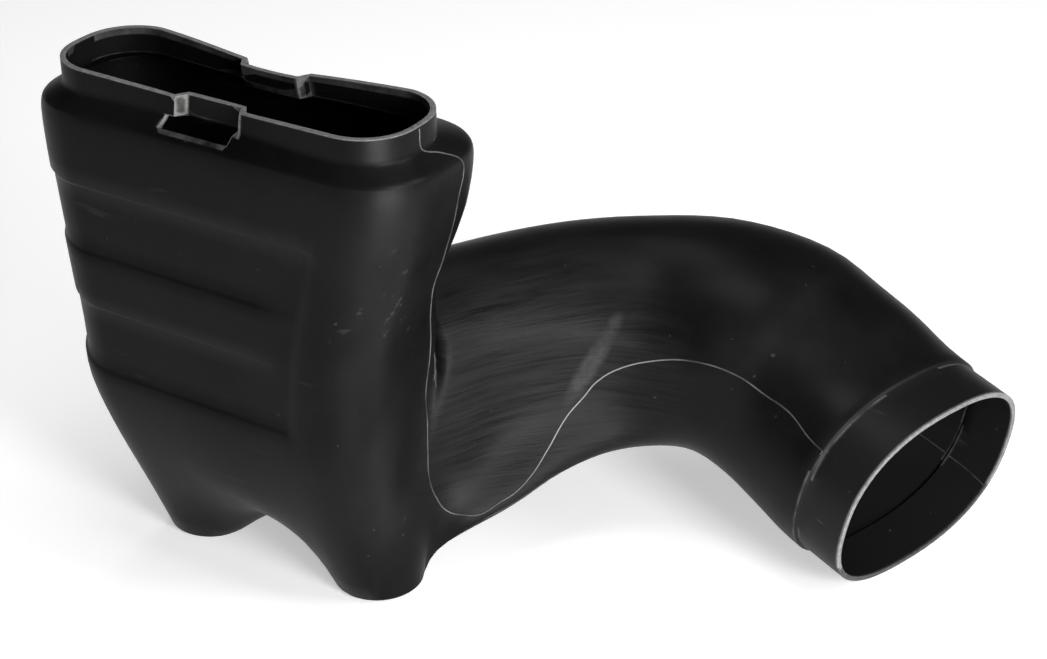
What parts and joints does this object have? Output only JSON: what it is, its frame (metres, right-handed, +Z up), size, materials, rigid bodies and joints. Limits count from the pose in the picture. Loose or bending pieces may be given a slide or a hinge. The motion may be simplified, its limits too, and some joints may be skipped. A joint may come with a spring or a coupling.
{
  "type": "air intake pipe",
  "caption": "One-piece blow-moulded car air intake pipe: a flat oblong mouth over an upright chamber with hollow feet, and a wide bent duct ending in an oval cuff.",
  "frame": {"origin": "middle of the footprint on the surface that the feet and the outlet's lowest edge rest on", "axes": "+X along the mouth's long side towards the outlet, +Y from the chamber's front wall towards the back, +Z up"},
  "size_m": [0.3304, 0.2244, 0.208],
  "materials": {
    "moulded_plastic": "black blow-moulded polyethylene with a satin sheen, fine tool marks and small scuffs"
  },
  "bodies": {
    "root": {"intake_duct": "moulded_plastic"}
  },
  "joints": []
}
